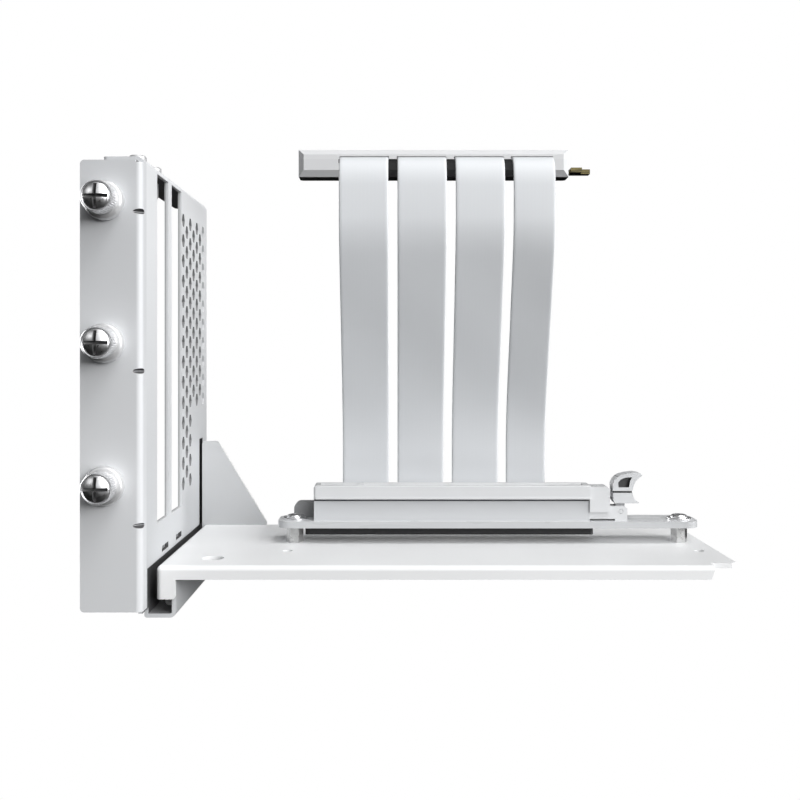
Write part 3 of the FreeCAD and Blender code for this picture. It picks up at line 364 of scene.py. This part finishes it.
def ribbon(name, x0, x1, twist, phase):
    width = x1 - x0
    points = route_points(name + "_line", (x0 + x1) / 2)
    steps = [0.0]
    for a, b in zip(points, points[1:]):
        steps.append(steps[-1] + (b - a).length)
    length = steps[-1]
    half, thick, edge = width / 2 * MM, 0.42 * MM, 0.40 * MM
    ring = []
    count = 20
    for i in range(count + 1):
        ring.append((-half + edge + (2 * half - 2 * edge) * i / count, thick))
    for i in range(1, 5):
        a = math.pi / 2 - math.pi * i / 5
        ring.append((half - edge + edge * math.cos(a), thick * math.sin(a)))
    for i in range(count + 1):
        ring.append((half - edge - (2 * half - 2 * edge) * i / count, -thick))
    for i in range(1, 5):
        a = -math.pi / 2 - math.pi * i / 5
        ring.append((-half + edge + edge * math.cos(a), thick * math.sin(a)))
    mesh = bpy.data.meshes.new(name)
    bm = bmesh.new()
    rows = []
    for k, (p, s) in enumerate(zip(points, steps)):
        a, b = points[max(k - 1, 0)], points[min(k + 1, len(points) - 1)]
        along = (b - a).normalized()
        across = Vector((1, 0, 0))
        out = along.cross(across).normalized()
        u = s / length
        # The ends are gripped flat; the free length twists and ripples a little.
        free = math.sin(math.pi * min(1.0, u / 0.86)) if u < 0.86 else 0.0
        turn = math.radians(twist) * free
        w = across * math.cos(turn) + out * math.sin(turn)
        n = out * math.cos(turn) - across * math.sin(turn)
        row = []
        for x, h in ring:
            lift = 0.10 * MM * free * math.sin(5.2 * u * math.pi + phase + 1.1 * x / half)
            row.append(bm.verts.new(p + w * x + n * (h + lift)))
        rows.append(row)
    m = len(ring)
    for r0, r1 in zip(rows, rows[1:]):
        for i in range(m):
            bm.faces.new((r0[i], r0[(i + 1) % m], r1[(i + 1) % m], r1[i]))
    bm.faces.new(list(reversed(rows[0])))
    bm.faces.new(rows[-1])
    bmesh.ops.recalc_face_normals(bm, faces=bm.faces)
    bm.to_mesh(mesh)
    bm.free()
    mesh.polygons.foreach_set("use_smooth", [True] * len(mesh.polygons))
    mesh.set_sharp_from_angle(angle=math.radians(50))
    obj = link(bpy.data.objects.new(name, mesh))
    wear(obj, film)
    obj.visible_shadow = False
    obj.visible_diffuse = False
    return obj, points, length


for k, ((x0, x1), (twist, phase)) in enumerate(zip(SPANS, LIE), 1):
    cable, line, length = ribbon(f"flat_cable_{k}", x0, x1, twist, phase)
    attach(cable, ROOT)
    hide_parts(f"ribbon_{k}")


# ------------------------------------------------------------------ helpers for new meshes
def lathe(bm, profile, axis_at, turns=96, radial=None):
    """A closed surface turned about a line along Y: profile is (radius, y) from pole to pole, in mm."""
    rings = []
    for r, y in profile:
        if r < 1e-6:
            rings.append([bm.verts.new((axis_at[0] * MM, y * MM, axis_at[1] * MM))])
            continue
        ring = []
        for i in range(turns):
            a = 2 * math.pi * i / turns
            q = r + (radial(y, i) if radial else 0.0)
            ring.append(bm.verts.new(((axis_at[0] + q * math.cos(a)) * MM, y * MM, (axis_at[1] + q * math.sin(a)) * MM)))
        rings.append(ring)
    for a, b in zip(rings, rings[1:]):
        for i in range(turns):
            j = (i + 1) % turns
            if len(a) == 1:
                bm.faces.new((a[0], b[i], b[j]))
            elif len(b) == 1:
                bm.faces.new((a[i], a[j], b[0]))
            else:
                bm.faces.new((a[i], a[j], b[j], b[i]))


def smooth(mesh, angle=32):
    mesh.polygons.foreach_set("use_smooth", [True] * len(mesh.polygons))
    mesh.set_sharp_from_angle(angle=math.radians(angle))


def cut(obj, cutter):
    """Takes the cutter's volume out of obj, for good."""
    mod = obj.modifiers.new("cut", "BOOLEAN")
    mod.operation = "DIFFERENCE"
    mod.solver = "EXACT"
    mod.object = cutter
    bpy.context.view_layer.update()
    done = bpy.data.meshes.new_from_object(obj.evaluated_get(bpy.context.evaluated_depsgraph_get()))
    obj.modifiers.clear()
    old = obj.data
    obj.data = done
    done.name = old.name
    bpy.data.meshes.remove(old)
    data = cutter.data
    bpy.data.objects.remove(cutter)
    bpy.data.meshes.remove(data)


def cross_cutter(name, x, z, y_mouth, depth, reach, arm):
    """A tapered cross for a driver recess, mouth at y_mouth, going +Y."""
    bm = bmesh.new()
    rings = []
    for y, k in ((y_mouth - 1.2, 1.12), (y_mouth + depth * 0.55, 0.80), (y_mouth + depth, 0.34)):
        r, a = reach * k, arm * (0.6 + 0.4 * k)
        pts = [
            (-a, -r), (a, -r), (a, -a), (r, -a), (r, a), (a, a), (a, r), (-a, r), (-a, a), (-r, a), (-r, -a), (-a, -a),
        ]
        rings.append([bm.verts.new(((x + px) * MM, y * MM, (z + pz) * MM)) for px, pz in pts])
    for a, b in zip(rings, rings[1:]):
        for i in range(12):
            bm.faces.new((a[i], a[(i + 1) % 12], b[(i + 1) % 12], b[i]))
    bm.faces.new(rings[0])
    bm.faces.new(list(reversed(rings[-1])))
    bmesh.ops.recalc_face_normals(bm, faces=bm.faces)
    mesh = bpy.data.meshes.new(name)
    bm.to_mesh(mesh)
    bm.free()
    return link(bpy.data.objects.new(name, mesh))


# ------------------------------------------------------------------ case thumbscrews
def thumbscrew(name, z):
    def knurl(y, i):
        if -10.4 < y < -5.2:
            return -0.13 if i % 4 in (2, 3) else 0.0
        return 0.0

    dome = [(0.0, -12.18)]
    for i in range(1, 13):
        a = math.radians(4.2 * i)
        dome.append((5.05 * math.sin(a) * 1.04, -12.18 + 5.05 * (1 - math.cos(a)) * 0.85))
    dome = [p for p in dome if p[0] < 4.05]
    profile = dome + [
        (4.22, -10.95), (4.38, -10.62), (4.45, -10.3), (4.45, -10.25), (4.45, -8.0), (4.45, -5.4), (4.40, -5.05), (4.28, -4.85),
        (4.12, -4.72), (4.08, -4.5), (4.08, -4.32), (4.3, -4.22), (4.8, -4.2), (5.2, -4.08), (5.45, -3.85), (5.62, -3.5),
        (5.70, -3.0), (5.70, -1.6), (5.65, -1.36), (5.54, -1.24), (5.36, -1.2), (1.55, -1.2), (1.55, 0.4),
    ]
    # Rolled thread on the shank.
    y = 0.4
    while y < 6.2:
        profile += [(1.40, y + 0.05), (1.74, y + 0.22), (1.74, y + 0.30), (1.40, y + 0.47)]
        y += 0.58
    profile += [(1.40, 6.45), (1.15, 6.98), (0.0, 7.0)]
    bm = bmesh.new()
    lathe(bm, profile, (0.0, 0.0), 160, knurl)
    bmesh.ops.recalc_face_normals(bm, faces=bm.faces)
    mesh = bpy.data.meshes.new(name)
    bm.to_mesh(mesh)
    bm.free()
    obj = link(bpy.data.objects.new(name, mesh))
    cut(obj, cross_cutter(name + "_cutter", 0.0, 0.0, -11.6, 1.9, 3.9, 0.5))
    smooth(obj.data, 30)
    wear(obj, nickel)
    obj.data.materials.append(pale_zinc_and_painted_light)
    obj.data.materials.append(recess_painted_shade)
    for face in obj.data.polygons:
        x, y, up = face.center / MM
        r = math.hypot(x, up)
        # Painted light: the collar takes the paler zinc and reads brighter than the rest of the head.
        if y > -4.4:
            face.material_index = 1
        # Painted shade: the driver recess is painted dark.
        elif r < 4.0 and y > -12.18 + 4.29 * (1 - math.cos(math.asin(r / 5.252))) + 0.12:
            face.material_index = 2
    obj.data.transform(Matrix.Translation((0.0, 0.0, z * MM)))
    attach(obj, ROOT)
    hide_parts("case_thumbscrews")
    return obj


for tag, z in (("upper", 40.64), ("middle", 0.0), ("lower", -40.64)):
    thumbscrew(f"thumbscrew_{tag}", z)


# ------------------------------------------------------------------ gilt fingers of the edge board
def slab(bm, low, high):
    made = bmesh.ops.create_cube(bm, size=1.0)["verts"]
    size = [(h - l) * MM for l, h in zip(low, high)]
    mid = [(h + l) / 2 * MM for l, h in zip(low, high)]
    bmesh.ops.transform(bm, matrix=Matrix.Translation(mid) @ Matrix.Diagonal((*size, 1.0)), verts=made)


bm = bmesh.new()
for side_low, side_high in ((60.08, 60.125), (58.475, 58.52)):
    for k in range(11):
        x = 56.9 + k
        slab(bm, (x - 0.35, 61.9, side_low), (x + 0.35, 67.1, side_high))
    for k in range(68):
        x = 71.2 + k
        slab(bm, (x - 0.35, 61.9, side_low), (x + 0.35, 67.1, side_high))
mesh = bpy.data.meshes.new("edge_fingers")
bm.to_mesh(mesh)
bm.free()
fingers = link(bpy.data.objects.new("edge_fingers", mesh))
wear(fingers, gilt)
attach(fingers, ROOT)

# ------------------------------------------------------------------ finishes of the CAD pieces
for name, mat in {
    "slot_cage": cage_paint,
    "support_shelf": shelf_paint,
    "bracket_screws": pale_zinc_and_painted_light,
    "shelf_screws": nickel,
    "board_screws": nickel,
    "board_standoffs": dull_nickel,
    "riser_board": board_white,
    "board_insulator": black_plastic,
    "card_slot": slot_plastic,
    "slot_latch": latch_plastic,
    "slot_contacts_front": gilt,
    "slot_contacts_rear": gilt,
    "cable_clamp": grey_resin,
    "cable_grommet": black_plastic,
    "plug_lid": plug_plastic,
    "plug_base": base_plastic,
    "edge_board": board_dark,
}.items():
    wear(nodes[name], mat)


# ------------------------------------------------------------------ stage and light
def area(name, at, towards, size_x, size_y, power, colour=(1, 1, 1)):
    data = bpy.data.lights.new(name, "AREA")
    data.shape = "RECTANGLE"
    data.size = size_x
    data.size_y = size_y
    data.energy = power
    data.color = colour
    obj = link(bpy.data.objects.new(name, data))
    obj.location = at
    obj.rotation_euler = (Vector(towards) - Vector(at)).to_track_quat("-Z", "Y").to_euler()
    obj.visible_camera = False
    return obj


MIDDLE = (0.09, 0.04, 0.0)
# Softboxes: azimuth from the camera's side towards the right, elevation, width, height, power.
for name, turn, lift, wide, tall, power in (
    ("front_low", 40, 15, 0.7, 0.53, 11.3),
    ("front_mid", 40, 35, 0.7, 0.7, 1.9),
    ("front_high", 40, 60, 0.7, 0.7, 8.6),
    ("right_low", 76, 1, 0.36, 0.36, 9.3),
    ("right_high", 76, 35, 0.36, 0.7, 2.9),
    ("back_left", -135, 4, 0.9, 0.9, 17.0),
    ("left_card", -50, 30, 0.8, 0.6, 2.2),
):
    turn, lift = math.radians(turn), math.radians(lift)
    reach = 1.6
    at = (
        MIDDLE[0] + reach * math.cos(lift) * math.sin(turn), MIDDLE[1] - reach * math.cos(lift) * math.cos(turn),
        MIDDLE[2] + reach * math.sin(lift),
    )
    lamp = area(name, at, MIDDLE, wide, tall, power)
    # The left card only gives the bright metal something pale to mirror.
    lamp.visible_diffuse = name != "left_card"

world = bpy.data.worlds.new("studio")
scene.world = world
world.use_nodes = True
tree = world.node_tree
tree.nodes.clear()
out = tree.nodes.new("ShaderNodeOutputWorld")
seen = tree.nodes.new("ShaderNodeBackground")
seen.inputs["Color"].default_value = (1, 1, 1, 1)
seen.inputs["Strength"].default_value = 1.0
lit = tree.nodes.new("ShaderNodeBackground")
lit.inputs["Strength"].default_value = 1.0
where = tree.nodes.new("ShaderNodeTexCoord")
split = tree.nodes.new("ShaderNodeSeparateXYZ")
tree.links.new(where.outputs["Generated"], split.inputs["Vector"])
height = tree.nodes.new("ShaderNodeMapRange")
height.inputs["From Min"].default_value = -1.0
height.inputs["From Max"].default_value = 1.0
tree.links.new(split.outputs["Z"], height.inputs["Value"])
sky = tree.nodes.new("ShaderNodeValToRGB")
sky.color_ramp.elements[0].position = 0.0
sky.color_ramp.elements[0].color = (0.0, 0.0, 0.0, 1)
sky.color_ramp.elements[1].position = 1.0
sky.color_ramp.elements[1].color = (0.985, 0.995, 1.0, 1)
for at, v in ((0.48, 0.0), (0.55, 1.0)):
    e = sky.color_ramp.elements.new(at)
    e.color = (v * 0.985, v * 0.995, v, 1)
tree.links.new(height.outputs["Result"], sky.inputs["Fac"])
depth = tree.nodes.new("ShaderNodeMapRange")
depth.inputs["From Min"].default_value = -1.0
depth.inputs["From Max"].default_value = 1.0
tree.links.new(split.outputs["Y"], depth.inputs["Value"])
around = tree.nodes.new("ShaderNodeValToRGB")
around.color_ramp.elements[0].position = 0.0
around.color_ramp.elements[0].color = (1, 1, 1, 1)
around.color_ramp.elements[1].position = 1.0
around.color_ramp.elements[1].color = (0.15, 0.15, 0.15, 1)
for at, v in ((0.42, 1.0), (0.55, 0.10)):
    e = around.color_ramp.elements.new(at)
    e.color = (v, v, v, 1)
tree.links.new(depth.outputs["Result"], around.inputs["Fac"])
dome = tree.nodes.new("ShaderNodeMix")
dome.data_type = "RGBA"
dome.blend_type = "MULTIPLY"
dome.inputs["Factor"].default_value = 1.0
tree.links.new(sky.outputs["Color"], dome.inputs["A"])
tree.links.new(around.outputs["Color"], dome.inputs["B"])
side = tree.nodes.new("ShaderNodeMapRange")
side.inputs["From Min"].default_value = -1.0
side.inputs["From Max"].default_value = 1.0
tree.links.new(split.outputs["X"], side.inputs["Value"])
aside = tree.nodes.new("ShaderNodeValToRGB")
aside.color_ramp.elements[0].position = 0.0
aside.color_ramp.elements[0].color = (0.15, 0.15, 0.15, 1)
aside.color_ramp.elements[1].position = 1.0
aside.color_ramp.elements[1].color = (1, 1, 1, 1)
for at, v in ((0.32, 0.15), (0.60, 1.0)):
    e = aside.color_ramp.elements.new(at)
    e.color = (v, v, v, 1)
tree.links.new(side.outputs["Result"], aside.inputs["Fac"])
wings = tree.nodes.new("ShaderNodeMix")
wings.data_type = "RGBA"
wings.blend_type = "MULTIPLY"
wings.inputs["Factor"].default_value = 1.0
tree.links.new(dome.outputs["Result"], wings.inputs["A"])
tree.links.new(aside.outputs["Color"], wings.inputs["B"])
tree.links.new(wings.outputs["Result"], lit.inputs["Color"])
rays = tree.nodes.new("ShaderNodeLightPath")
mix = tree.nodes.new("ShaderNodeMixShader")
tree.links.new(rays.outputs["Is Camera Ray"], mix.inputs["Fac"])
tree.links.new(lit.outputs["Background"], mix.inputs[1])
tree.links.new(seen.outputs["Background"], mix.inputs[2])
tree.links.new(mix.outputs["Shader"], out.inputs["Surface"])

mesh = bpy.data.meshes.new("floor")
bm = bmesh.new()
bmesh.ops.create_grid(bm, x_segments=1, y_segments=1, size=6.0)
bm.to_mesh(mesh)
bm.free()
floor = link(bpy.data.objects.new("floor", mesh))
floor.location = (0.09, 0.04, cad_low[2] - 0.0002)
paper = bpy.data.materials.new("white_paper")
paper.use_nodes = True
paper.node_tree.nodes.clear()
surface = paper.node_tree.nodes.new("ShaderNodeOutputMaterial")
glow = paper.node_tree.nodes.new("ShaderNodeEmission")
glow.inputs["Color"].default_value = (1, 1, 1, 1)
glow.inputs["Strength"].default_value = 1.0
paper.node_tree.links.new(glow.outputs["Emission"], surface.inputs["Surface"])
wear(floor, paper)
floor.visible_diffuse = False
floor.visible_glossy = False
floor.visible_transmission = False
floor.visible_shadow = False

scene.view_settings.view_transform = "Standard"
scene.view_settings.look = "None"
